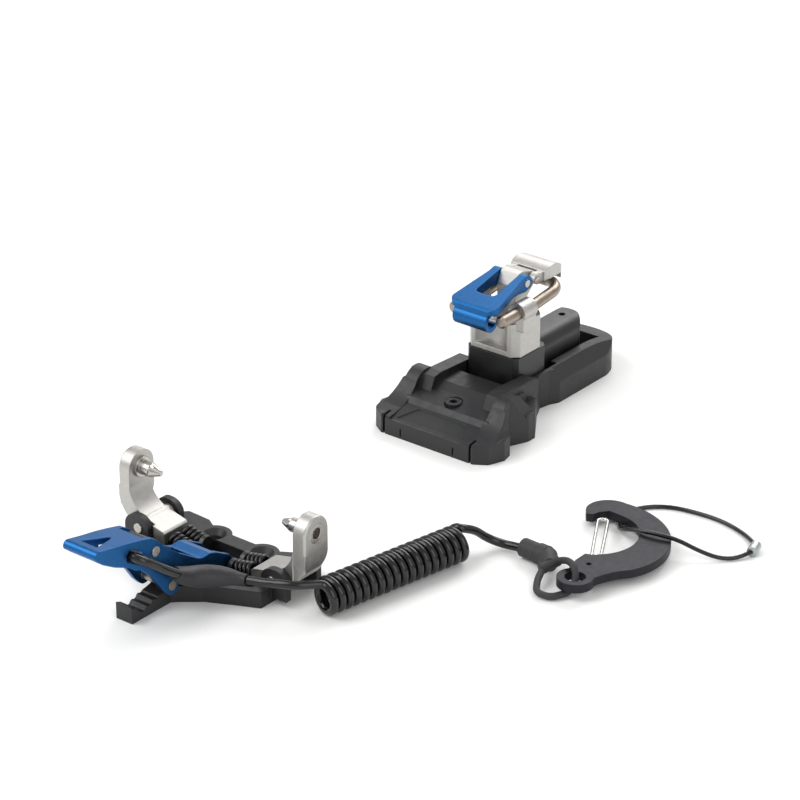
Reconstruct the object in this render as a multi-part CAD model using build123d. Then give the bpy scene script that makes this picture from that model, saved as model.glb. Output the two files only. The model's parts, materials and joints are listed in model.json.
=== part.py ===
from build123d import *
import math
import os

# Ski touring binding: toe unit, heel unit and coiled leash, in millimetres.
# Z = 0 is the ski's top face. X runs across the ski, -Y points at the ski's tip.
# The origin lies on the centre line below the two boot pins of the toe unit.

# ---------------------------------------------------------------- clearances
RUNNING = 0.05        # radial, pins that turn in a bore
GAP = 0.3             # between pieces that move past each other
SLIDE = 0.25          # per side, heel carriage in its rails

# ------------------------------------------------------------------ toe unit
PIN_Z = 25.5          # boot pin axis above the ski
PIN_TIP_X = 27.0      # half the gap between the two pin tips, closed
PIN_R = 2.5
PIN_COLLAR_R = 3.75
PIN_HEAD_R = 3.5
PIN_SOCKET_R = 2.0

ARM_X = 36.0          # inner face of the upright arm
ARM_T = 5.0
ARM_R = 6.1           # half width of the arm, and the radius of its top

HINGE_X = 29.5        # wing hinge axis
HINGE_Z = 8.0
HINGE_R = 1.75
WING_BOSS_R = 3.1
WING_END_X = 19.3     # inner end face of the wing
WING_Y0 = -6.4        # wing between the base's ears
WING_Y1 = 4.0
WING_BLOCK_Y0 = -7.7  # inner block that the springs press on
WING_BLOCK_X = 24.4

EAR_X0 = 25.0
EAR_X1 = 35.6
EAR_T = 2.5
EAR_TOP = 12.5
EAR_FRONT_Y = -7.0    # inner face of the front ear
EAR_REAR_Y = 6.0      # inner face of the rear ear

TOE_RIM = 6.0         # height of the front rim of the toe base
TOE_REAR = 5.0        # height of its rear plate
TOE_FLOOR = 0.8
TOE_HALF_W = 29.5
RECESS_Y1 = 4.7       # rear edge of the recess under the wings
TOE_HOLE_X = 10.5
TOE_HOLE_Y = 7.5
SCREW_HOLE_R = 2.6
SCREW_HEAD_R = 4.4

LEVER_PIVOT = (-40.0, 24.4)   # y, z
LEVER_HALF_W = 7.0
LEVER_PLATE = 1.8
PIVOT_R = 1.8
CROSS_PIN = (-32.6, 8.9)      # y, z of the pin that rides on the tongue
CROSS_PIN_R = 1.7
TONGUE_HALF_W = 3.5
POST_BOSS_R = 3.4

SPRING_OD = 6.0
SPRING_WIRE = 1.45
SPRING_TURNS = 4
SPRING_ROWS = {"front": -4.8, "rear": 1.4}
SPRING_Z_IN = 4.3     # spring axis at the seat
SPRING_Z_OUT = 6.3    # spring axis at the wing
SEAT_X0 = 8.2
SEAT_X1 = 10.0

# ----------------------------------------------------------------- heel unit
HEEL_Y = 110.0        # front face of the heel base
HEEL_TRAVEL = 5.0     # how far the sprung carriage moves back
PLINTH_HALF_W = 11.5
PLINTH_Y0 = 38.0
PLINTH_Y1 = 57.0
PLINTH_TOP = 24.0
FOOT_HALF_W = 8.7
HEEL_FLOOR = 4.0
DECK = 12.0
TUBE_HALF_W = 7.6
TUBE_Y1 = 88.0
TUBE_TOP = 23.7
TURRET_Y = 46.5
TURRET_Z0 = PLINTH_TOP + GAP
TURRET_Z1 = 37.5
TURRET_HALF_W = 11.5
TURRET_Y0 = 38.0
TURRET_Y1 = 55.0
POST_R = 5.0
POST_NECK_R = 3.6      # part of the post inside the turret
FORK_X = 10.5
FORK_Z = 41.9
FORK_R = 2.15
PRONG_R = 2.35        # the two ends that enter the boot
FORK_TIP_Y = 29.0
PRONG_END_Y = 38.6
FORK_LOOP_Y = 67.0
RISER_PIVOT = (49.5, 49.4)    # y, z
REAR_RISER_PIVOT = (56.3, 48.2)
RISER_PIN_R = 1.5
HINGE_BLOCK_HALF_W = 4.0
RISER_ARM_W = 3.2
ROLL_HALF_W = 7.4

# --------------------------------------------------------------------- leash
CORD_D = 3.0
COIL_OD = 13.2
COIL_Z = COIL_OD / 2 + 0.1
COIL_A = (47.6, -7.1)
COIL_B = (60.2, 53.6)
LOOP_ROUTE = [(12.3, -35.8, 16.4), (12.5, -40.6, 19.6), (12.0, -46.2, 23.9), (10.6, -51.2, 27.5),
              (3.5, -51.6, 27.7), (-2.2, -52.2, 28.0), (-2.2, -47.4, 25.1), (3.5, -48.0, 25.5),
              (8.7, -47.6, 25.2), (8.9, -42.0, 20.9), (9.0, -35.8, 16.4)]
PEG_LOW = (0, -51.0, 24.6)
PEG_HIGH = (0, -47.4, 30.5)
PEG_R = 0.55
SLEEVE_ROUTE = [(10.67, -35.5, 16.18), (11.3, -30.0, 12.2), (14.0, -23.6, 10.8), (19.2, -19.4, 10.5),
                (25.6, -17.4, 10.6)]
LEAD_IN_ROUTE = [(25.95, -17.3, 10.61), (31.5, -15.8, 10.9), (37.6, -15.2, 12.4), (43.6, -13.2, 12.8),
                 (47.3, -7.95, 11.4)]
LEAD_OUT_ROUTE = [(60.6, 54.4, 11.0), (61.2, 58.8, 8.8), (62.4, 63.0, 4.6), (66.4, 66.8, 2.0),
                  (73.0, 67.3, 2.6), (78.4, 66.8, 3.5)]
STRAP_D = 2.4
STRAP_ROUTE = [(89.6, 58.4, 4.1), (91.6, 52.4, 3.0), (95.0, 47.2, 1.7), (100.4, 48.0, 1.5),
               (103.2, 54.6, 1.5), (103.5, 58.0, 5.2), (100.4, 60.4, 8.4), (95.6, 63.0, 7.4),
               (91.2, 63.4, 5.2)]
CONNECTOR_TUBE = ((75.2, 67.1, 3.5), (85.6, 66.2, 3.8))
CONNECTOR_NECK_END = (90.6, 61.0, 4.6)
CONNECTOR_YOKE = ((89.3, 57.6, 4.0), (91.5, 64.2, 5.3))
CONNECTOR_TUBE_R = 3.3
CONNECTOR_STUB_R = 3.7
CARABINER_T = 3.0
CARABINER_LIFT = 1.75
CARABINER_TILT = 1.6
CARABINER_REST_Y = 112.5
EYE = (103.4, 57.2)
EYE_R = 6.2
EYE_HOLE_R = 3.5
GATE_WIRE_R = 0.6
GATE_PIVOT = (98.9, 75.5)
GATE_BARREL_R = 0.8
WIRE_D = 1.5
WIRE_ROUTE = [(134.3, 118.4, 1.9), (130.6, 122.6, 1.0), (121.9, 126.7, 0.85), (112.5, 128.6, 0.85),
              (103.0, 127.9, 0.85), (95.0, 126.2, 0.85), (88.6, 121.6, 0.85), (84.9, 114.6, 0.85),
              (86.4, 107.6, 0.85), (89.8, 101.6, 1.3), (94.4, 97.4, 4.0), (101.0, 96.6, 6.3),
              (108.0, 97.6, 6.7), (115.4, 99.6, 6.1), (122.6, 102.2, 3.0), (129.4, 105.4, 0.95),
              (134.0, 110.6, 1.0), (135.2, 115.4, 1.9)]
CRIMP = ((135.5, 114.4, 1.9), (134.0, 119.4, 1.9))
CRIMP_R = 1.85


# ------------------------------------------------------------ small helpers
def box(x0, x1, y0, y1, z0, z1):
    """Box between six planes."""
    size = Box(x1 - x0, y1 - y0, z1 - z0, align=(Align.MIN, Align.MIN, Align.MIN))
    return Pos(x0, y0, z0) * size


def drawn(plane, start, steps):
    """Closed face from a start point and steps: a point, or (middle, end) of an arc."""
    edges = []
    at = start
    for step in steps:
        if isinstance(step[0], tuple):
            edges.append(ThreePointArc(at, step[0], step[1]))
            at = step[1]
        else:
            edges.append(Line(at, step))
            at = step
    edges.append(Line(at, start))
    return plane * make_face(edges)


def along_x(points, x0, x1):
    """Outline in (y, z), extruded from x0 to x1."""
    plane = Plane(origin=(x0, 0, 0), x_dir=(0, 1, 0), z_dir=(1, 0, 0))
    return extrude(drawn(plane, points[0], points[1:]), x1 - x0)


def along_y(points, y0, y1):
    """Outline in (x, z), extruded from y0 to y1."""
    plane = Plane(origin=(0, y1, 0), x_dir=(1, 0, 0), z_dir=(0, -1, 0))
    return extrude(drawn(plane, points[0], points[1:]), y1 - y0)


def along_z(points, z0, z1):
    """Outline in (x, y), extruded from z0 to z1."""
    plane = Plane(origin=(0, 0, z0), x_dir=(1, 0, 0), z_dir=(0, 0, 1))
    return extrude(drawn(plane, points[0], points[1:]), z1 - z0)


def rod(start, end, radius, end_radius=None):
    """Round bar, or a cone, between two points."""
    a = Vector(*start)
    b = Vector(*end)
    plane = Plane(origin=a, z_dir=b - a)
    length = (b - a).length
    if end_radius is None:
        return extrude(plane * Circle(radius), length)
    shape = Cone(radius, end_radius, length, align=(Align.CENTER, Align.CENTER, Align.MIN))
    return plane.location * shape


def rod_x(y, z, radius, x0, x1):
    return rod((x0, y, z), (x1, y, z), radius)


def rod_y(x, z, radius, y0, y1):
    return rod((x, y0, z), (x, y1, z), radius)


def rod_z(x, y, radius, z0, z1):
    return rod((x, y, z0), (x, y, z1), radius)


def flipped(shape):
    """The same piece on the other side of the centre line."""
    return mirror(shape, about=Plane.YZ)


def both(shape):
    """A piece and its mirror image, as one shape."""
    return shape + flipped(shape)


def tube_path(route):
    """Straight runs joined by tangent arcs as large as the runs allow."""
    points = [Vector(*p) for p in route]
    radii = []
    for before, at, after in zip(points, points[1:], points[2:]):
        half = math.radians((at - before).get_angle(after - at)) / 2
        shorter = min((at - before).length, (after - at).length)
        radii.append(0.45 * shorter / math.tan(half))
    return FilletPolyline(*points, radius=radii), radii


def cord(route, diameter):
    """Plain round tube along a route."""
    path, radii = tube_path(route)
    start = Plane(origin=path @ 0, z_dir=path % 0)
    shape = sweep(start * Circle(diameter / 2), path=path)
    expected = math.pi * diameter ** 2 / 4 * path.length
    print(f"cord d={diameter} length={path.length:.1f} smallest arc={min(radii):.1f} "
          f"volume/expected={shape.volume / expected:.4f}")
    return shape


def heel(points):
    """Outline given from the heel's own front face, moved to its place."""
    moved = []
    for p in points:
        if isinstance(p[0], tuple):
            moved.append(((p[0][0] + HEEL_Y, p[0][1]), (p[1][0] + HEEL_Y, p[1][1])))
        else:
            moved.append((p[0] + HEEL_Y, p[1]))
    return moved


def heel_plan(points):
    """The same for an outline in (x, y)."""
    moved = []
    for p in points:
        if isinstance(p[0], tuple):
            moved.append(((p[0][0], p[0][1] + HEEL_Y), (p[1][0], p[1][1] + HEEL_Y)))
        else:
            moved.append((p[0], p[1] + HEEL_Y))
    return moved


def heel_box(x0, x1, y0, y1, z0, z1):
    return box(x0, x1, HEEL_Y + y0, HEEL_Y + y1, z0, z1)


def save(name, shape):
    """One STEP file per node."""
    shape.label = name
    export_step(shape, f"parts/{name}.step")


# -------------------------------------------------------------------- toe unit
def toe_outline():
    """Right and left edge of the toe base, seen from above."""
    right = [(3.5, -30.2), (5.4, -28.2), (8.9, -25.4), (11.8, -23.0), (21.5, -18.2),
             (TOE_HALF_W - 0.2, -14.7), (TOE_HALF_W, 13.0), (28.0, 14.5), (18.5, 14.0), (14.5, 11.6),
             (8.0, 10.6)]
    left = [(-x, y) for x, y in reversed(right)]
    return right + left


def toe_ear(y0, y1):
    """Rounded ear that carries one end of a wing's hinge pin."""
    outline = [(EAR_X0, 2.0), (EAR_X1, 2.0), (EAR_X1, HINGE_Z),
               ((33.9, 11.5), (30.2, EAR_TOP)), ((26.9, 11.6), (EAR_X0, 9.0))]
    return along_y(outline, y0, y1)


def toe_tongue():
    """Front tongue with the stepped track for the lever's cross pin."""
    outline = [(-48.5, 0.0), (-48.5, 6.0), (-46.4, 5.2), ((-45.0, 3.4), (-43.6, 2.6)),
               ((-42.7, 2.5), (-41.9, 3.2)), ((-41.2, 3.7), (-40.4, 3.5)), ((-39.6, 3.5), (-38.9, 4.2)),
               ((-38.2, 4.7), (-37.4, 4.5)), ((-36.6, 4.5), (-36.0, 5.0)), (-33.6, 5.4), (-31.5, TOE_RIM),
               (-27.0, TOE_RIM), (-27.0, 0.0)]
    return along_x(outline, -TONGUE_HALF_W, TONGUE_HALF_W)


def toe_base():
    body = along_z(toe_outline(), 0, TOE_RIM)
    body += both(rod_z(TOE_HOLE_X, TOE_HOLE_Y, 6.1, 0, TOE_RIM))
    body -= box(-40, 40, RECESS_Y1, 30, TOE_REAR, TOE_RIM + 1)
    recess = [(5.3, -25.2), (8.2, -22.4), (20.6, -15.8), (24.8, -13.6), (24.8, RECESS_Y1)]
    recess += [(-x, y) for x, y in reversed(recess)]
    body -= along_z(recess, TOE_FLOOR, TOE_RIM + 1)
    ears = toe_ear(EAR_FRONT_Y - EAR_T, EAR_FRONT_Y) + toe_ear(EAR_REAR_Y, EAR_REAR_Y + EAR_T)
    body += both(ears)
    body += toe_tongue()
    notch = box(24.0, 40, EAR_FRONT_Y, EAR_REAR_Y, 2.4, EAR_TOP + 1)
    screw = rod_z(TOE_HOLE_X, TOE_HOLE_Y, SCREW_HOLE_R, -1, TOE_REAR + 1)
    sink = rod((TOE_HOLE_X, TOE_HOLE_Y, TOE_REAR - 2.2), (TOE_HOLE_X, TOE_HOLE_Y, TOE_REAR + 0.2),
               SCREW_HOLE_R - 0.1, SCREW_HEAD_R)
    bore = rod_y(HINGE_X, HINGE_Z, HINGE_R, EAR_FRONT_Y - EAR_T - 1, EAR_REAR_Y + EAR_T + 1)
    body -= both(notch + screw + sink + bore)
    return body


def wing_hinge_pin():
    return rod_y(HINGE_X, HINGE_Z, HINGE_R, EAR_FRONT_Y - EAR_T - 0.4, EAR_REAR_Y + EAR_T + 0.4)


def wing():
    """L-shaped wing: an arm that lies over the base and an upright that holds the boot pin."""
    lying = [(WING_END_X, 3.4), (WING_END_X, 8.2), (20.0, 8.8), (28.4, 10.7),
             ((33.6, 14.0), (ARM_X, 19.6)), (ARM_X + ARM_T, 19.6), (ARM_X + ARM_T, 16.0),
             ((39.6, 11.6), (36.4, 8.0)), (30.0, 5.4), (24.0, 4.2)]
    body = along_y(lying, WING_Y0, WING_Y1)
    body += along_y(lying, WING_BLOCK_Y0, WING_Y1) & box(0, WING_BLOCK_X, -20, 20, 0, 20)
    body += rod_y(HINGE_X, HINGE_Z, WING_BOSS_R, WING_Y0, EAR_REAR_Y - GAP)
    upright = [(-ARM_R, 12.4), (0.0, 12.4), ((4.6, 14.0), (ARM_R, 18.4)), (ARM_R, PIN_Z),
               ((0.0, PIN_Z + ARM_R), (-ARM_R, PIN_Z))]
    arm = along_x(upright, ARM_X, ARM_X + ARM_T)
    arm = fillet(arm.faces().sort_by(Axis.X)[-1].edges(), 0.8)
    body -= box(ARM_X, 50, -20, -ARM_R, 0, 40)
    body += arm
    body -= rod_y(HINGE_X, HINGE_Z, HINGE_R + RUNNING, -20, 20)
    body -= rod_x(0, PIN_Z, PIN_HEAD_R, 30, 50)
    return body


def boot_pin():
    """Pin that enters the boot's toe socket, with the head that fills the arm's bore."""
    x_arm = ARM_X
    cone_x = PIN_TIP_X + 4.0
    body = rod((x_arm, 0, PIN_Z), (x_arm - 1.0, 0, PIN_Z), PIN_COLLAR_R)
    body += rod((x_arm - 1.0, 0, PIN_Z), (cone_x, 0, PIN_Z), PIN_R)
    body += rod((cone_x, 0, PIN_Z), (PIN_TIP_X, 0, PIN_Z), PIN_R, 1.0)
    for turn in range(6):
        angle = math.radians(60 * turn)
        y = 3.6 * math.cos(angle)
        z = PIN_Z + 3.6 * math.sin(angle)
        body -= rod((cone_x, y, z), (PIN_TIP_X - 1, y * 0.86, PIN_Z + (z - PIN_Z) * 0.86), 1.5)
    body += rod((x_arm, 0, PIN_Z), (x_arm + ARM_T, 0, PIN_Z), PIN_HEAD_R)
    body -= rod((x_arm + ARM_T + 1, 0, PIN_Z), (x_arm + 1.6, 0, PIN_Z), PIN_SOCKET_R)
    return body


def spring(y):
    """Coil spring between the seat and the wing's inner end."""
    r = (SPRING_OD - SPRING_WIRE) / 2
    a = Vector(SEAT_X1, y, SPRING_Z_IN)
    b = Vector(WING_END_X, y, SPRING_Z_OUT)
    inset = SPRING_WIRE / 2 + 0.35
    length = (b - a).length - 2 * inset
    frame = Plane(origin=a + (b - a).normalized() * inset, x_dir=(0, 1, 0), z_dir=b - a)
    path = frame.location * Helix(pitch=length / SPRING_TURNS, height=length, radius=r)
    start = Plane(origin=path @ 0, z_dir=path % 0)
    return sweep(start * Circle(SPRING_WIRE / 2), path=path, is_frenet=True)


def spring_seat():
    """Cup that guides the inner ends of two springs."""
    y0 = SPRING_ROWS["front"]
    y1 = SPRING_ROWS["rear"]
    body = box(SEAT_X0, SEAT_X1, y0, y1, SPRING_Z_IN - 1.4, SPRING_Z_IN + 1.4)
    for y in SPRING_ROWS.values():
        body += rod_x(y, SPRING_Z_IN, SPRING_OD / 2 - 0.05, SEAT_X0, SEAT_X1)
        body += rod((SEAT_X1, y, SPRING_Z_IN), (SEAT_X1 + 2.2, y, SPRING_Z_IN + 0.4), 1.2)
    return body


def lever_post():
    """Bracket on the base that carries the lever's pivot between its side plates."""
    y, z = LEVER_PIVOT
    half = LEVER_HALF_W - LEVER_PLATE - GAP
    outline = [(-24.8, TOE_FLOOR), (-24.8, 6.0), (-25.5, 10.5), (-29.0, 13.8), (-38.6, 21.3),
               (-37.4, 26.4), (-28.4, 17.6), (-20.2, 10.5), (-20.2, TOE_FLOOR)]
    body = along_x(outline, -half, half)
    body += rod_x(y, z, POST_BOSS_R, -half, half)
    body -= rod_x(y, z, PIVOT_R + RUNNING, -20, 20)
    return body


def lever_plate_outline():
    return [(-67.3, 32.5), ((-67.2, 34.6), (-65.6, 35.2)), (-58.9, 33.8), (-53.2, 32.8), (-47.4, 31.5),
            (-41.7, 30.0), (-39.0, 28.2), (-36.0, 25.1), (-28.4, 18.8), (-20.0, 13.4), (-17.7, 12.6),
            (-14.1, 12.8), (-11.0, 11.8), (-8.4, 10.3), (-4.5, 8.2), (-3.0, 5.6), (-4.2, 2.4),
            (-11.0, 2.6), (-16.0, 6.4), (-22.0, 9.6), (-27.6, 12.6), (-29.2, 8.8),
            ((-32.6, 5.5), (-35.3, 6.8)), (-37.2, 8.9), (-39.8, 12.8), (-43.1, 17.2), (-46.9, 20.5),
            (-49.5, 21.5), (-53.3, 24.2), (-59.2, 26.9), (-64.4, 30.0)]


def toe_lever():
    """Lever of two side plates, a front web with the pole-tip window, and a tail saddle."""
    inner = LEVER_HALF_W - LEVER_PLATE
    body = both(along_x(lever_plate_outline(), inner, LEVER_HALF_W))
    web = [(-67.3, 32.5), ((-67.2, 34.6), (-65.6, 35.2)), (-58.9, 33.8), (-53.2, 32.8), (-47.4, 31.5),
           (-44.0, 30.6), (-44.3, 28.7), (-53.6, 30.7), (-59.2, 31.4), (-62.5, 30.6), (-64.4, 30.0)]
    body += along_x(web, -inner, inner)
    saddle = [(-19.0, 11.2), (-19.0, 12.8), (-17.7, 12.6), (-14.1, 12.8), (-11.4, 11.9), (-11.4, 10.2)]
    body += along_x(saddle, -inner, inner)
    body -= along_z([(-3.6, -63.2), (3.6, -63.2), (0.5, -53.0), (-0.5, -53.0)], 26, 40)
    y, z = LEVER_PIVOT
    body -= rod_x(y, z, PIVOT_R, -20, 20)
    body -= rod_x(*CROSS_PIN, PIVOT_R, -20, 20)
    slot = [(-47.5, 22.9), ((-45.5, 25.1), (-46.0, 26.8)), (-50.6, 29.7), ((-53.4, 28.3), (-53.1, 26.1))]
    body -= along_x(slot, -20, 20)
    # Peg under the web that the leash's loop goes round.
    body += rod(PEG_LOW, PEG_HIGH, PEG_R)
    return body


def lever_pivot_rivet():
    return rod_x(*LEVER_PIVOT, PIVOT_R, -LEVER_HALF_W - 0.25, LEVER_HALF_W + 0.25)


def lever_cross_pin():
    """Pin across the lever's lower ears; its middle rides on the tongue's steps."""
    inner = LEVER_HALF_W - LEVER_PLATE
    body = rod_x(*CROSS_PIN, PIVOT_R, -LEVER_HALF_W - 0.25, -inner)
    body += rod_x(*CROSS_PIN, CROSS_PIN_R, -inner, inner)
    body += rod_x(*CROSS_PIN, PIVOT_R, inner, LEVER_HALF_W + 0.25)
    return body


# ------------------------------------------------------------------- heel unit
def heel_outline():
    """Heel base seen from above."""
    right = [(19.4, 0.0), (20.8, 0.0), (25.6, 3.1), (28.0, 9.5), (27.0, 14.0), (22.4, 16.5),
             (22.4, 19.5), (25.6, 27.0), (25.6, 31.0), (15.8, 45.5), (12.8, 51.5), (13.6, 56.0),
             (15.5, 60.0), (15.5, 89.0)]
    left = [(-x, y) for x, y in reversed(right)]
    return heel_plan(right + [((0.0, 104.0), left[0])] + left[1:])


def heel_base():
    plan = heel_outline()
    body = along_z(plan, 0, 6.4)
    # Front bumper with its sloping recess, and the deck behind it.
    ramp = heel([(0.6, 3.0), (0.6, 6.3), (10.5, 9.2), (12.0, 11.2), (20.0, 13.2), (24.0, 15.0),
                 (34.0, 15.0), (35.5, 6.0), (35.5, 3.0)])
    body += along_x(ramp, -18.6, 18.6)
    # Corner blocks.
    block = along_z(plan, 0, 7.6) & heel_box(20.4, 30, -1, 14.0, 0, 20)
    # Outer horn and inner rail on each side of the carriage.
    horn = along_x(heel([(0.4, 5.0), (0.4, 7.2), (7.0, 8.4), ((12.4, 11.2), (16.2, 15.8)),
                         ((20.4, 18.4), (25.0, 18.0)), ((28.0, 14.4), (31.0, 10.6)), (31.0, 5.0)]), 17.0, 27.0)
    horn &= along_y([(17.0, 0.0), (27.0, 0.0), (27.0, 6.8), (25.2, 9.0), (22.4, 19.0), (17.0, 19.0)],
                    HEEL_Y - 1, HEEL_Y + 40)
    horn &= along_z(plan, 0, 20)
    rail = along_x(heel([(14.0, 5.0), (20.0, 17.4), (24.0, 18.0), (31.0, 17.6), (42.5, 17.0),
                         (45.0, 14.0), (58.0, 14.0), (58.0, 5.0)]), PLINTH_HALF_W + SLIDE, 17.6)
    rail &= along_z(plan, 0, 20)
    side = along_z(plan, 0, 10.6) & heel_box(14.0, 26, 26.0, 40.0, 0, 20)
    body += both(block + horn + rail + side)
    # Rear body.
    rear = along_x(heel([(52.0, 3.0), (52.0, 14.0), (80.0, 14.0), ((93.0, 12.8), (104.5, 10.0)),
                         (104.5, 3.0)]), -20, 20)
    shoulder = [(-16.0, 0.0), (16.0, 0.0), (16.0, 7.5), (12.6, 14.2), (-12.6, 14.2), (-16.0, 7.5)]
    rear &= along_y(shoulder, HEEL_Y + 50, HEEL_Y + 106)
    body += rear & along_z(plan, 0, 20)
    # Space for the carriage and its foot, with travel to the rear.
    half = PLINTH_HALF_W + SLIDE
    body -= heel_box(-half, half, PLINTH_Y0 - 2.0, PLINTH_Y1 + HEEL_TRAVEL + 1.0, DECK - GAP, 30)
    foot = FOOT_HALF_W + SLIDE
    body -= heel_box(-foot, foot, PLINTH_Y0 - 2.0, TUBE_Y1 + HEEL_TRAVEL + 1.0, HEEL_FLOOR, 30)
    # Front slits, recess in the bumper, side pockets and the screw holes.
    recess = heel_plan([(-15.5, 2.0), (15.5, 2.0), (10.6, 9.6), (-10.6, 9.6)])
    body -= along_z(recess, 6.4, 12) & along_x(heel([(0.0, 5.7), (11.0, 8.9), (11.0, 12.0),
                                                     (0.0, 12.0)]), -20, 20)
    slit = heel_box(19.0, 20.0, -1.0, 4.0, -1, 20) + heel_box(11.6, 12.2, -1.0, 1.2, 0.8, 4.0)
    pocket = along_z(heel_plan([(13.6, 33.0), (20.4, 33.0), (14.2, 42.4)]), 6.4, 10.0)
    body -= both(slit + pocket)
    body -= rod_z(0, HEEL_Y + 16.0, 1.6, -1, 20)
    body -= rod_z(0, HEEL_Y + 16.0, 3.4, 9.6, 20)
    body -= rod_z(0, HEEL_Y + 70.0, SCREW_HOLE_R, -1, HEEL_FLOOR + 1)
    return body


def heel_base_screw():
    """Socket screw in the middle of the front deck."""
    y = HEEL_Y + 16.0
    body = rod_z(0, y, 1.6, 0.3, 9.6)
    body += rod_z(0, y, 3.2, 9.6, 12.6)
    body -= along_z([(1.5 * math.cos(math.radians(60 * k)), y + 1.5 * math.sin(math.radians(60 * k)))
                     for k in range(6)], 10.8, 14)
    return body


def heel_plinth():
    """Carriage: a foot in the base's slot and a plinth between its rails."""
    half = PLINTH_HALF_W
    body = heel_box(-half, half, PLINTH_Y0, PLINTH_Y1, DECK, PLINTH_TOP)
    body += heel_box(-FOOT_HALF_W, FOOT_HALF_W, PLINTH_Y0, PLINTH_Y1, HEEL_FLOOR + GAP, DECK)
    edges = body.edges().filter_by(Axis.Z).sort_by(Axis.Z)[-4:]
    body = chamfer(edges, 1.6)
    body -= rod_z(0, HEEL_Y + TURRET_Y, POST_R, DECK - 4, 40)
    return body


def heel_tube_housing():
    """Spring housing behind the plinth, rounded at its rear."""
    w = TUBE_HALF_W
    outline = [(-w, 5.0), (w, 5.0), (w, 17.4), ((6.6, 21.4), (3.6, TUBE_TOP)), (-3.6, TUBE_TOP),
               ((-6.6, 21.4), (-w, 17.4))]
    body = along_y(outline, HEEL_Y + PLINTH_Y1, HEEL_Y + TUBE_Y1)
    end = heel_plan([(-w, 50.0), (w, 50.0), (w, TUBE_Y1 - 5.0), ((0.0, TUBE_Y1), (-w, TUBE_Y1 - 5.0))])
    body &= along_z(end, 0, 40)
    body -= rod_y(0, 12.0, 5.0, HEEL_Y + PLINTH_Y1 - 1, HEEL_Y + TUBE_Y1 - 4.0)
    body -= rod_y(0, 12.0, 3.0, HEEL_Y + TUBE_Y1 - 5.0, HEEL_Y + TUBE_Y1 + 1)
    body -= rod_z(0, HEEL_Y + TUBE_Y1 - 6.0, 1.3, 18, 30)
    return body


def heel_adjust_screw():
    """Screw with a slotted head that preloads the housing's spring."""
    y1 = HEEL_Y + TUBE_Y1
    body = rod_y(0, 12.0, 3.0 - RUNNING, y1 - 4.0, y1 - 0.6)
    body += rod_y(0, 12.0, 4.6, y1 - 6.2, y1 - 4.0)
    body -= box(-3, 3, y1 - 1.8, y1 + 1, 11.5, 12.5)
    return body


def heel_spring():
    """Release spring inside the housing."""
    y0 = HEEL_Y + PLINTH_Y1 + 1.4
    y1 = HEEL_Y + TUBE_Y1 - 7.8
    frame = Plane(origin=(0, y0, 12.0), x_dir=(1, 0, 0), z_dir=(0, 1, 0))
    path = frame.location * Helix(pitch=(y1 - y0) / 6, height=y1 - y0, radius=3.6)
    start = Plane(origin=path @ 0, z_dir=path % 0)
    return sweep(start * Circle(1.0), path=path, is_frenet=True)


def turret_post():
    """Fixed post that the turret turns on."""
    body = rod_z(0, HEEL_Y + TURRET_Y, POST_R, DECK - 4, TURRET_Z0)
    body += rod_z(0, HEEL_Y + TURRET_Y, POST_NECK_R, TURRET_Z0, TURRET_Z1 - 4.0)
    return body


def turret_housing():
    """Turning housing with the two bosses that clamp the fork."""
    w = TURRET_HALF_W
    c = 2.6
    plan = [(w - c, TURRET_Y0), (w, TURRET_Y0 + c), (w, TURRET_Y1 - c), (w - c, TURRET_Y1)]
    plan += [(-x, y) for x, y in reversed(plan)]
    body = along_z(heel_plan(plan), TURRET_Z0, TURRET_Z1)
    body -= rod_z(0, HEEL_Y + TURRET_Y - 13.4, 8.7, TURRET_Z0 + 2.0, TURRET_Z1 - 1.6)
    body -= rod_z(0, HEEL_Y + TURRET_Y, POST_NECK_R + RUNNING, TURRET_Z0 - 1, TURRET_Z1 - 3.6)
    for x in (-FORK_X, FORK_X):
        body += box(x - 3.0, x + 3.0, HEEL_Y + 39.4, HEEL_Y + 47.0, TURRET_Z1 - 2.5, FORK_Z)
        body += rod_y(x, FORK_Z + 0.3, 3.7, HEEL_Y + 39.4, HEEL_Y + 47.0)
    body -= fork_bar(FORK_R)
    return body


def fork_bar(radius):
    """U-shaped bar: two prongs that enter the boot's heel fitting, and a rear loop."""
    x = FORK_X
    y0 = HEEL_Y + FORK_TIP_Y
    y1 = HEEL_Y + FORK_LOOP_Y
    route = [(x, y0, FORK_Z), (x, HEEL_Y + 50.0, FORK_Z), (x, y1, FORK_Z + 1.8),
             (-x, y1, FORK_Z + 1.8), (-x, HEEL_Y + 50.0, FORK_Z), (-x, y0, FORK_Z)]
    path = FilletPolyline(*[Vector(*p) for p in route], radius=[20.0, 6.5, 6.5, 20.0])
    start = Plane(origin=path @ 0, z_dir=path % 0)
    return sweep(start * Circle(radius), path=path)


def heel_fork():
    body = fork_bar(FORK_R)
    for x in (-FORK_X, FORK_X):
        body += rod_y(x, FORK_Z, PRONG_R, HEEL_Y + FORK_TIP_Y, HEEL_Y + PRONG_END_Y)
    tips = [e for e in body.edges() if e.center().Y < HEEL_Y + FORK_TIP_Y + 0.5 and e.length > 5]
    return chamfer(tips, 0.7)


def riser_hinge_block():
    """Block on the turret that carries both risers' pins."""
    w = HINGE_BLOCK_HALF_W
    outline = heel([(46.8, TURRET_Z1), (46.8, 47.8), (49.0, 52.3), (51.6, 52.6), (58.6, 50.4),
                    (59.0, 46.4), (54.4, 42.0), (54.4, TURRET_Z1)])
    body = along_x(outline, -w, w)
    for y, z in (RISER_PIVOT, REAR_RISER_PIVOT):
        body -= rod_x(HEEL_Y + y, z, RISER_PIN_R, -20, 20)
    return body


def riser_pin(pivot, half):
    y, z = pivot
    return rod_x(HEEL_Y + y, z, RISER_PIN_R, -half, half)


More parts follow.
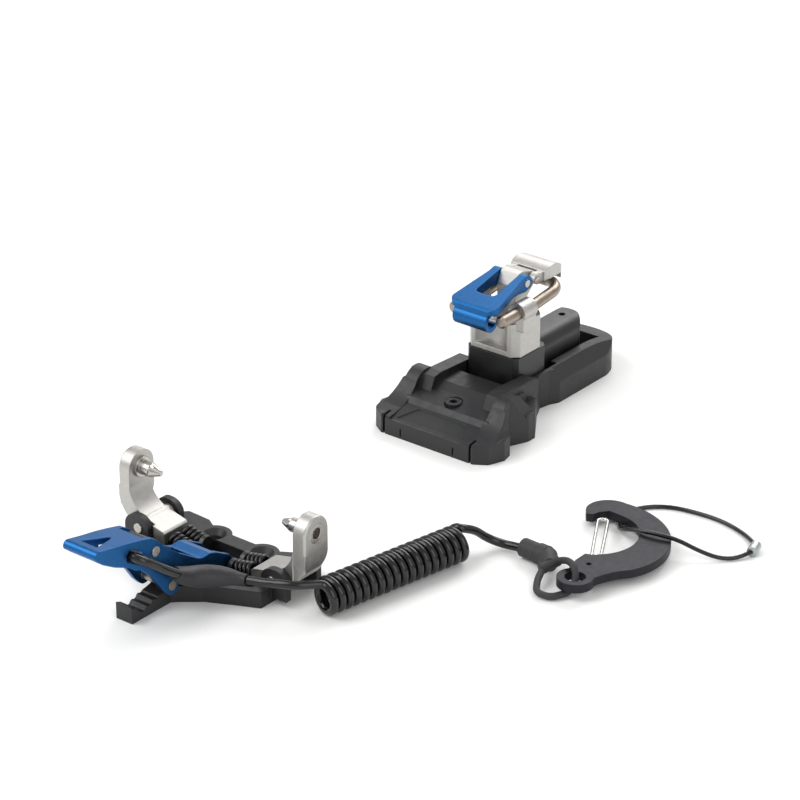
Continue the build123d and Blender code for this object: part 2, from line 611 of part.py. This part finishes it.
def front_riser():
    """Climbing aid that lies over the fork: top plate, two arms and a rolled front hook."""
    inner = HINGE_BLOCK_HALF_W + GAP
    outer = inner + RISER_ARM_W
    arm = heel([(30.0, 45.4), (30.0, 47.9), (49.0, 52.4), ((52.0, 50.8), (51.6, 47.6)),
                (48.6, 46.5), (44.0, 47.0)])
    body = along_x(arm, inner, outer) + along_x(arm, -outer, -inner)
    plate = heel([(25.6, 45.1), (25.4, 46.6), (26.4, 47.3), (46.0, 51.7), (46.0, 49.0), (31.0, 45.3)])
    plan = heel_plan([(-6.4, 25.3), (6.4, 25.3), ((9.2, 26.4), (10.0, 29.4)), (outer, 46.0),
                      (-outer, 46.0), (-10.0, 29.4), ((-9.2, 26.4), (-6.4, 25.31))])
    body += along_x(plate, -12, 12) & along_z(plan, 40, 55)
    window = heel_plan([(-2.4, 33.5), (2.4, 33.5), ((4.0, 34.2), (4.3, 36.0)), (4.3, 60.0),
                        (-4.3, 60.0), (-4.3, 36.0), ((-4.0, 34.2), (-2.4, 33.51))])
    body -= along_z(window, 40, 60)
    roll = rod_x(HEEL_Y + 28.4, 41.6, 3.9, -ROLL_HALF_W, ROLL_HALF_W)
    roll += along_x(heel([(25.6, 43.0), (25.6, 45.2), (29.6, 45.8), (31.4, 43.6)]), -ROLL_HALF_W, ROLL_HALF_W)
    roll -= rod_x(HEEL_Y + 28.4, 41.6, 2.3, -20, 20)
    roll -= along_x(heel([(28.0, 40.6), (28.0, 43.0), (40.0, 43.0), (40.0, 38.8)]), -20, 20)
    body += roll
    body -= rod_x(HEEL_Y + RISER_PIVOT[0], RISER_PIVOT[1], RISER_PIN_R + RUNNING, -20, 20)
    return body


def rear_riser():
    """Second climbing aid, folded back over the fork's loop."""
    inner = HINGE_BLOCK_HALF_W + GAP
    outer = inner + 2.6
    y, z = REAR_RISER_PIVOT
    arm = heel([(y - 2.6, z), ((y, z + 2.6), (y + 2.0, z + 2.2)), (66.0, 49.6), (66.0, 47.2),
                (y + 1.2, 46.6), ((y - 1.4, 46.2), (y - 2.6, z))][:-1])
    body = along_x(arm, inner, outer) + along_x(arm, -outer, -inner)
    plate = heel([(59.8, 46.9), (59.8, 50.6), ((65.0, 52.0), (70.6, 50.0)), ((72.8, 47.8), (72.4, 44.6)),
                  (70.4, 44.6), (70.2, 46.9)])
    plan = heel_plan([(outer, 55.0), (8.0, 63.0), (7.6, 69.6), ((4.9, 73.4), (0.0, 74.0)),
                      ((-4.9, 73.4), (-7.6, 69.6)), (-8.0, 63.0), (-outer, 55.0)])
    body += along_x(plate, -12, 12) & along_z(plan, 40, 55)
    body -= rod_x(HEEL_Y + y, z, RISER_PIN_R + RUNNING, -20, 20)
    return body


# ----------------------------------------------------------------------- leash
def leash_sleeve():
    """Shrink sleeve over the spliced cord: flat ends and a swollen middle."""
    path, radii = tube_path(SLEEVE_ROUTE)
    print(f"sleeve length={path.length:.1f} smallest arc={min(radii):.1f}")
    stations = [(0.0, 3.3, 1.9), (0.16, 3.5, 3.0), (0.4, 4.0, 3.7), (0.68, 3.8, 3.3), (0.86, 2.6, 2.3),
                (1.0, 2.2, 1.9)]
    sections = []
    for share, wide, high in stations:
        plane = Plane(origin=path @ share, x_dir=(path % share).cross(Vector(0, 0, 1)), z_dir=path % share)
        sections.append(plane * Ellipse(wide, high))
    return loft(sections)


def leash_coil():
    """Outer shape of the coiled stretch."""
    return rod((*COIL_A, COIL_Z), (*COIL_B, COIL_Z), COIL_OD / 2)


def leash_connector():
    """Moulded rubber connector: tube for the cord, neck, and the strap round the carabiner's eye."""
    a, b = CONNECTOR_TUBE
    body = rod(a, b, CONNECTOR_TUBE_R)
    middle = tuple((p + 2 * q) / 3 for p, q in zip(a, b))
    body += rod(middle, b, CONNECTOR_STUB_R)
    body += rod(b, CONNECTOR_NECK_END, CONNECTOR_STUB_R - 0.1, 2.4)
    body += rod(*CONNECTOR_YOKE, 1.9)
    body += cord(STRAP_ROUTE, STRAP_D)
    body -= cord(LEAD_OUT_ROUTE, CORD_D)
    return body


def tilted(shape):
    """The carabiner lies on the strap at one end and on the wire loop at the other."""
    axis = Axis((0, CARABINER_REST_Y, CARABINER_LIFT), (1, 0, 0))
    return (Pos(0, 0, CARABINER_LIFT) * shape).rotate(axis, -CARABINER_TILT)


def carabiner_body():
    outline = [(98.4, 60.6), (96.6, 67.0), (96.4, 72.6), (98.6, 73.6), (101.4, 76.4),
               ((104.9, 84.4), (103.4, 94.0)), ((98.4, 100.4), (89.6, 103.6)), (84.4, 103.9),
               (82.4, 101.2), (81.6, 98.0), (79.4, 97.2), (77.2, 100.0),
               ((77.6, 108.8), (85.4, 112.3)), ((103.6, 108.2), (113.4, 98.6)),
               ((117.4, 87.0), (115.0, 73.0)), ((111.2, 67.4), (108.8, 60.2))]
    body = along_z(outline, 0, CARABINER_T)
    body += rod_z(*EYE, EYE_R, 0, CARABINER_T)
    body -= rod_z(*EYE, EYE_HOLE_R, -1, CARABINER_T + 1)
    body -= rod_z(101.6, 67.4, 0.9, -1, CARABINER_T + 1)
    return tilted(body)


def carabiner_gate():
    """Sprung wire gate between the two ends of the hook."""
    z = CARABINER_T / 2
    route = [(97.6, 74.6, z), (83.4, 98.6, z), (86.4, 100.4, z), (100.2, 76.4, z)]
    path = FilletPolyline(*[Vector(*p) for p in route], radius=[1.5, 1.5])
    start = Plane(origin=path @ 0, z_dir=path % 0)
    body = sweep(start * Circle(GATE_WIRE_R), path=path)
    body += rod(route[0], route[-1], GATE_WIRE_R)
    body += rod_z(*GATE_PIVOT, GATE_BARREL_R, z - 0.9, z + 0.9)
    return tilted(body)


def wire_crimp():
    body = rod(*CRIMP, CRIMP_R)
    body -= cord(WIRE_ROUTE, WIRE_D)
    return body


# ----------------------------------------------------------------------- build
os.makedirs("parts", exist_ok=True)

save("toe_base", toe_base())
save("lever_post", lever_post())
save("toe_lever", toe_lever())
save("lever_pivot_rivet", lever_pivot_rivet())
save("lever_cross_pin", lever_cross_pin())

for side, place in (("right", lambda shape: shape), ("left", flipped)):
    save(f"wing_{side}", place(wing()))
    save(f"wing_hinge_pin_{side}", place(wing_hinge_pin()))
    save(f"boot_pin_{side}", place(boot_pin()))
    save(f"spring_seat_{side}", place(spring_seat()))
    for row, y in SPRING_ROWS.items():
        save(f"toe_spring_{row}_{side}", place(spring(y)))

save("heel_base", heel_base())
save("heel_base_screw", heel_base_screw())
save("heel_plinth", heel_plinth())
save("heel_tube_housing", heel_tube_housing())
save("heel_adjust_screw", heel_adjust_screw())
save("heel_release_spring", heel_spring())
save("turret_post", turret_post())
save("turret_housing", turret_housing())
save("heel_fork", heel_fork())
save("riser_hinge_block", riser_hinge_block())
save("front_riser_pin", riser_pin(RISER_PIVOT, 7.7))
save("rear_riser_pin", riser_pin(REAR_RISER_PIVOT, 7.2))
save("front_riser", front_riser())
save("rear_riser", rear_riser())

save("leash_loop", cord(LOOP_ROUTE, CORD_D))
save("leash_sleeve", leash_sleeve())
save("leash_lead_in", cord(LEAD_IN_ROUTE, CORD_D))
save("leash_coil", leash_coil())
save("leash_lead_out", cord(LEAD_OUT_ROUTE, CORD_D))
save("leash_connector", leash_connector())
save("carabiner_body", carabiner_body())
save("carabiner_gate", carabiner_gate())
save("wire_loop", cord(WIRE_ROUTE, WIRE_D))
save("wire_crimp", wire_crimp())
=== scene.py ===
import json
import math

import bpy
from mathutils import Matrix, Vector


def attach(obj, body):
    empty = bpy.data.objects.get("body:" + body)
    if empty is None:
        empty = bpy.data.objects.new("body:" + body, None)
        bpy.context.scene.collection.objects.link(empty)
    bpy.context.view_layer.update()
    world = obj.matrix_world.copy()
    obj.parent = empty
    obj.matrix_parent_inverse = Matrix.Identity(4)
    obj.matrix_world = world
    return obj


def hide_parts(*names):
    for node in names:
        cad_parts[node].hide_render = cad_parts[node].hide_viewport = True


# Ski touring binding: toe unit, heel unit and coiled leash, dressed over the CAD frame.
# Lengths are in metres; MM turns the routes' millimetres into them.
MM = 0.001

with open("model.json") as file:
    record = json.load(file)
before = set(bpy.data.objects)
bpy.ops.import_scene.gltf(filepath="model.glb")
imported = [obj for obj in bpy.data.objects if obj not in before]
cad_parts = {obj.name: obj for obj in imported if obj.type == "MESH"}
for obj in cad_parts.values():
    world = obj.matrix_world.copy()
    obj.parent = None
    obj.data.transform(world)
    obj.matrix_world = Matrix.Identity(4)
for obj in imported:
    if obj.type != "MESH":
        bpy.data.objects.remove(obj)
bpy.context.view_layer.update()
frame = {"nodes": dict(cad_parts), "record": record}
nodes = frame["nodes"]
slot_of = {part["node"]: part["material_slot"] for part in frame["record"]["subparts"]}

# ------------------------------------------------------------------- camera
AZIMUTH = math.radians(38.5)
ELEVATION = math.radians(26.0)
LENS = 144.0
EYE_POINT = Vector((0.6328, -0.6974, 0.5159))
PAN_RIGHT = -0.0020
PAN_UP = 0.0033


def add_camera():
    """Long lens at three-quarter front, looking slightly down."""
    sin_a, cos_a = math.sin(AZIMUTH), math.cos(AZIMUTH)
    sin_e, cos_e = math.sin(ELEVATION), math.cos(ELEVATION)
    back = Vector((sin_a * cos_e, -cos_a * cos_e, sin_e))
    right = Vector((cos_a, sin_a, 0.0))
    up = Vector((-sin_a * sin_e, cos_a * sin_e, cos_e))
    data = bpy.data.cameras.new("camera")
    data.lens = LENS
    data.sensor_width = 36.0
    data.clip_end = 20.0
    camera = bpy.data.objects.new("camera", data)
    bpy.context.scene.collection.objects.link(camera)
    camera.location = EYE_POINT + right * PAN_RIGHT + up * PAN_UP
    camera.rotation_mode = "QUATERNION"
    camera.rotation_quaternion = (-back).to_track_quat("-Z", "Y")
    bpy.context.scene.camera = camera


add_camera()


# ----------------------------------------------------------- material tools
def colour(hex_code):
    """sRGB hex value as linear RGBA."""
    channels = [int(hex_code[i:i + 2], 16) / 255 for i in (0, 2, 4)]
    return [c / 12.92 if c <= 0.04045 else ((c + 0.055) / 1.055) ** 2.4 for c in channels] + [1.0]


def node(tree, kind, settings=None, links=None):
    """Adds one shader node: settings set its properties or sockets, links feed its sockets."""
    made = tree.nodes.new(kind)
    for name, value in (settings or {}).items():
        if isinstance(name, str) and hasattr(made, name):
            setattr(made, name, value)
        else:
            made.inputs[name].default_value = value
    for name, source in (links or {}).items():
        tree.links.new(source, made.inputs[name])
    return made


def surface(name, **sockets):
    """New material with one Principled shader; returns the material, its tree and the shader."""
    material = bpy.data.materials.new(name)
    material.use_nodes = True
    tree = material.node_tree
    tree.nodes.clear()
    shader = node(tree, "ShaderNodeBsdfPrincipled", sockets)
    node(tree, "ShaderNodeOutputMaterial", links={"Surface": shader.outputs[0]})
    return material, tree, shader


EDGE = 0.45 * MM      # radius that the render gives to sharp edges; the meshes stay sharp


def grain(tree, shader, size, height, rough_from, rough_to, detail=4.0, colours=None):
    """Fine surface texture: a bump of the given grain size, with roughness and tone that follow it."""
    place = node(tree, "ShaderNodeTexCoord")
    fine = node(tree, "ShaderNodeTexNoise", {"Scale": 1.0 / size, "Detail": detail},
                {"Vector": place.outputs["Object"]})
    broad = node(tree, "ShaderNodeTexNoise", {"Scale": 0.12 / size, "Detail": 3.0},
                 {"Vector": place.outputs["Object"]})
    edge = node(tree, "ShaderNodeBevel", {"samples": 6, "Radius": EDGE})
    bump = node(tree, "ShaderNodeBump", {"Strength": 1.0, "Distance": height},
                {"Height": fine.outputs[0], "Normal": edge.outputs[0]})
    tree.links.new(bump.outputs[0], shader.inputs["Normal"])
    rough = node(tree, "ShaderNodeMapRange",
                 {"From Min": 0.3, "From Max": 0.7, "To Min": rough_from, "To Max": rough_to},
                 {"Value": broad.outputs[0]})
    tree.links.new(rough.outputs[0], shader.inputs["Roughness"])
    if colours:
        ramp = node(tree, "ShaderNodeValToRGB", links={"Fac": broad.outputs[0]})
        ramp.color_ramp.elements[0].position = 0.3
        ramp.color_ramp.elements[1].position = 0.7
        ramp.color_ramp.elements[0].color = colour(colours[0])
        ramp.color_ramp.elements[1].color = colour(colours[1])
        tree.links.new(ramp.outputs[0], shader.inputs["Base Color"])


# ---------------------------------------------------------------- materials
def glass_filled_nylon():
    """Moulded black nylon with glass fibre: an even matte grain about 0.3 mm across."""
    material, tree, shader = surface("glass_filled_nylon", IOR=1.53)
    grain(tree, shader, 0.30 * MM, 0.020 * MM, 0.44, 0.58, colours=("131315", "1c1c1e"))
    return material


def smooth_nylon():
    """Moulded black nylon from a polished mould: smoother and a little darker."""
    material, tree, shader = surface("smooth_nylon", IOR=1.53)
    grain(tree, shader, 0.5 * MM, 0.010 * MM, 0.34, 0.44, colours=("0e0e0f", "151517"))
    return material


def blue_anodised_aluminium():
    """Machined aluminium, blasted and dyed blue: a metal with a fine satin tooth."""
    material, tree, shader = surface("blue_anodised_aluminium", Metallic=1.0)
    grain(tree, shader, 0.16 * MM, 0.006 * MM, 0.36, 0.46, colours=("235a92", "2b649c"))
    return material


def blasted_aluminium():
    """Forged aluminium, bead-blasted and clear anodised: pale, soft highlights."""
    material, tree, shader = surface("blasted_aluminium", Metallic=1.0)
    grain(tree, shader, 0.18 * MM, 0.008 * MM, 0.40, 0.52, colours=("b4b2ae", "c0beba"))
    return material


def ground_steel():
    """Ground and polished steel pins: bright, with fine wear."""
    material, tree, shader = surface("ground_steel", Metallic=1.0)
    grain(tree, shader, 0.4 * MM, 0.003 * MM, 0.22, 0.34, colours=("b0aca6", "c2beb9"))
    return material


def heat_treated_steel():
    """Heat-treated steel bar: satin, slightly warm in tone."""
    material, tree, shader = surface("heat_treated_steel", Metallic=1.0)
    grain(tree, shader, 0.25 * MM, 0.005 * MM, 0.30, 0.42, colours=("95897d", "a5998d"))
    return material


def coated_spring_wire():
    """Spring wire in black lacquer: dark and fairly glossy."""
    material, tree, shader = surface("coated_spring_wire", IOR=1.5)
    grain(tree, shader, 0.4 * MM, 0.004 * MM, 0.20, 0.30, colours=("0a0a0b", "101012"))
    return material


def glossy_cord_coat():
    """Extruded polyurethane over the leash's core: black and glossy."""
    material, tree, shader = surface("glossy_cord_coat", IOR=1.5)
    grain(tree, shader, 1.2 * MM, 0.012 * MM, 0.16, 0.26, colours=("09090a", "0f0f11"))
    return material


def shrink_tube():
    """Heat-shrunk polyolefin: matte dark grey with shallow wrinkles."""
    material, tree, shader = surface("shrink_tube", IOR=1.5)
    grain(tree, shader, 1.6 * MM, 0.16 * MM, 0.46, 0.62, detail=5.0, colours=("1b1b1e", "242428"))
    return material


def moulded_rubber():
    """Moulded grey-black rubber: matte, dusty."""
    material, tree, shader = surface("moulded_rubber", IOR=1.5)
    grain(tree, shader, 0.5 * MM, 0.020 * MM, 0.58, 0.74, colours=("262628", "303032"))
    return material


def black_anodised_aluminium():
    """Aluminium plate, blasted and dyed black: dark with a fine sparkle."""
    material, tree, shader = surface("black_anodised_aluminium", Metallic=0.75)
    grain(tree, shader, 0.22 * MM, 0.012 * MM, 0.42, 0.54, colours=("232327", "2c2c31"))
    return material


def bright_spring_wire():
    """Stainless spring wire: bright drawn surface."""
    material, tree, shader = surface("bright_spring_wire", Metallic=1.0)
    grain(tree, shader, 0.4 * MM, 0.003 * MM, 0.16, 0.26, colours=("c4c2be", "d2d0cc"))
    return material


def pressed_aluminium():
    """Soft aluminium sleeve pressed on a wire: pale, slightly hammered."""
    material, tree, shader = surface("pressed_aluminium", Metallic=1.0)
    grain(tree, shader, 0.8 * MM, 0.03 * MM, 0.34, 0.5, colours=("a6adae", "b8bdbe"))
    return material


FINISH = {
    "black_nylon": glass_filled_nylon(),
    "dark_nylon": smooth_nylon(),
    "blue_anodised": blue_anodised_aluminium(),
    "silver_aluminium": blasted_aluminium(),
    "bright_steel": ground_steel(),
    "warm_steel": heat_treated_steel(),
    "black_spring": coated_spring_wire(),
    "black_cord": glossy_cord_coat(),
    "shrink_sleeve": shrink_tube(),
    "grey_rubber": moulded_rubber(),
    "black_anodised": black_anodised_aluminium(),
    "wire_steel": bright_spring_wire(),
    "crimp_aluminium": pressed_aluminium(),
}

for name, piece in nodes.items():
    piece.data.materials.clear()
    piece.data.materials.append(FINISH[slot_of[name]])


# -------------------------------------------------------------------- cords
def cord_curve(name, points, diameter):
    """Round cord on one smooth open spline."""
    data = bpy.data.curves.new(name, "CURVE")
    data.dimensions = "3D"
    data.resolution_u = 4
    data.bevel_depth = diameter / 2
    data.bevel_resolution = 5
    data.use_fill_caps = True
    spline = data.splines.new("NURBS")
    spline.points.add(len(points) - 1)
    for place, point in zip(spline.points, points):
        place.co = (*point, 1.0)
    spline.order_u = 3
    spline.use_endpoint_u = True
    piece = bpy.data.objects.new(name, data)
    bpy.context.scene.collection.objects.link(piece)
    return piece


def metres(route):
    return [Vector(p) * MM for p in route]


CORD = 3.0 * MM
WIRE_ROPE = 1.5 * MM
LOOP = metres([(12.3, -35.8, 16.4), (12.5, -40.6, 19.6), (12.0, -46.2, 23.9), (10.6, -51.2, 27.5),
               (3.5, -51.6, 27.7), (-2.2, -52.2, 28.0), (-2.2, -47.4, 25.1), (3.5, -48.0, 25.5),
               (8.7, -47.6, 25.2), (8.9, -42.0, 20.9), (9.0, -35.8, 16.4)])
LEAD_IN = metres([(25.95, -17.3, 10.61), (31.5, -15.8, 10.9), (37.6, -15.2, 12.4),
                  (43.6, -13.2, 12.8), (47.3, -7.95, 11.4)])
LEAD_OUT = metres([(60.6, 54.4, 11.0), (61.2, 58.8, 8.8), (62.4, 63.0, 4.6), (66.4, 66.8, 2.0),
                   (73.0, 67.3, 2.6), (78.4, 66.8, 3.5)])
WIRE = metres([(134.3, 118.4, 1.9), (130.6, 122.6, 1.0), (121.9, 126.7, 0.85), (112.5, 128.6, 0.85),
               (103.0, 127.9, 0.85), (95.0, 126.2, 0.85), (88.6, 121.6, 0.85), (84.9, 114.6, 0.85),
               (86.4, 107.6, 0.85), (89.8, 101.6, 1.3), (94.4, 97.4, 4.0), (101.0, 96.6, 6.3),
               (108.0, 97.6, 6.7), (115.4, 99.6, 6.1), (122.6, 102.2, 3.0), (129.4, 105.4, 0.95),
               (134.0, 110.6, 1.0), (135.2, 115.4, 1.9)])
COIL_NEAR = Vector((47.6, -7.1, 6.7)) * MM
COIL_FAR = Vector((60.2, 53.6, 6.7)) * MM
COIL_OUTSIDE = 13.2 * MM
TURNS = 18
POINTS_PER_TURN = 16


def coil_points():
    """The leash's curls: from the top at the near end to the top at the far end."""
    along = (COIL_FAR - COIL_NEAR).normalized()
    side = along.cross(Vector((0, 0, 1)))
    start = COIL_NEAR + along * CORD / 2
    run = (COIL_FAR - COIL_NEAR).length - CORD
    radius = (COIL_OUTSIDE - CORD) / 2 / (0.75 + 0.25 * math.cos(2 * math.pi / POINTS_PER_TURN))
    points = []
    for step in range(TURNS * POINTS_PER_TURN + 1):
        angle = 2 * math.pi * step / POINTS_PER_TURN
        share = step / (TURNS * POINTS_PER_TURN)
        ring = Vector((0, 0, 1)) * math.cos(angle) + side * math.sin(angle)
        points.append(start + along * run * share + ring * radius)
    return points


def dress_cords():
    loop = cord_curve("leash_loop_cord", LOOP, CORD)
    loop.data.materials.append(FINISH["black_cord"])
    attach(loop, "lever")
    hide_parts("leash_loop")
    main = cord_curve("leash_cord", LEAD_IN[:-1] + coil_points() + LEAD_OUT[1:], CORD)
    main.data.materials.append(FINISH["black_cord"])
    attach(main, "toe_frame")
    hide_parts("leash_lead_in", "leash_coil", "leash_lead_out")
    wire = cord_curve("wire_rope_loop", WIRE, WIRE_ROPE)
    wire.data.materials.append(FINISH["black_cord"])
    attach(wire, "toe_frame")
    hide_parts("wire_loop")


dress_cords()


# -------------------------------------------------------------------- stage
SURROUND_STRENGTH = 0.62
FLOOR_SIZE = 12.0


def area_light(name, place, aim, size, power, tint="ffffff"):
    data = bpy.data.lights.new(name, "AREA")
    data.shape = "RECTANGLE"
    data.size, data.size_y = size
    data.energy = power
    data.color = colour(tint)[:3]
    light = bpy.data.objects.new(name, data)
    bpy.context.scene.collection.objects.link(light)
    light.location = place
    light.rotation_mode = "QUATERNION"
    light.rotation_quaternion = (Vector(aim) - Vector(place)).to_track_quat("-Z", "Y")


def add_stage():
    """Pale floor, white surroundings and three large soft lights."""
    bpy.ops.mesh.primitive_plane_add(size=FLOOR_SIZE, location=(0, 0, 0))
    floor = bpy.context.object
    floor.name = "floor"
    material, tree, shader = surface("pale_floor", Roughness=0.9)
    shader.inputs["Base Color"].default_value = colour("f4f4f3")
    floor.data.materials.append(material)
    world = bpy.data.worlds.new("studio")
    world.use_nodes = True
    world.node_tree.nodes["Background"].inputs[0].default_value = colour("ffffff")
    world.node_tree.nodes["Background"].inputs[1].default_value = SURROUND_STRENGTH
    bpy.context.scene.world = world
    centre = (0.03, 0.05, 0.02)
    area_light("key", (-0.55, -0.55, 0.85), centre, (0.9, 0.9), 9.0)
    area_light("fill", (0.95, -0.25, 0.55), centre, (0.8, 0.8), 3.5)
    area_light("rim", (-0.2, 0.95, 0.75), centre, (0.9, 0.6), 7.0)


bpy.ops.object.select_all(action="DESELECT")
add_stage()
bpy.context.scene.view_settings.view_transform = "Standard"
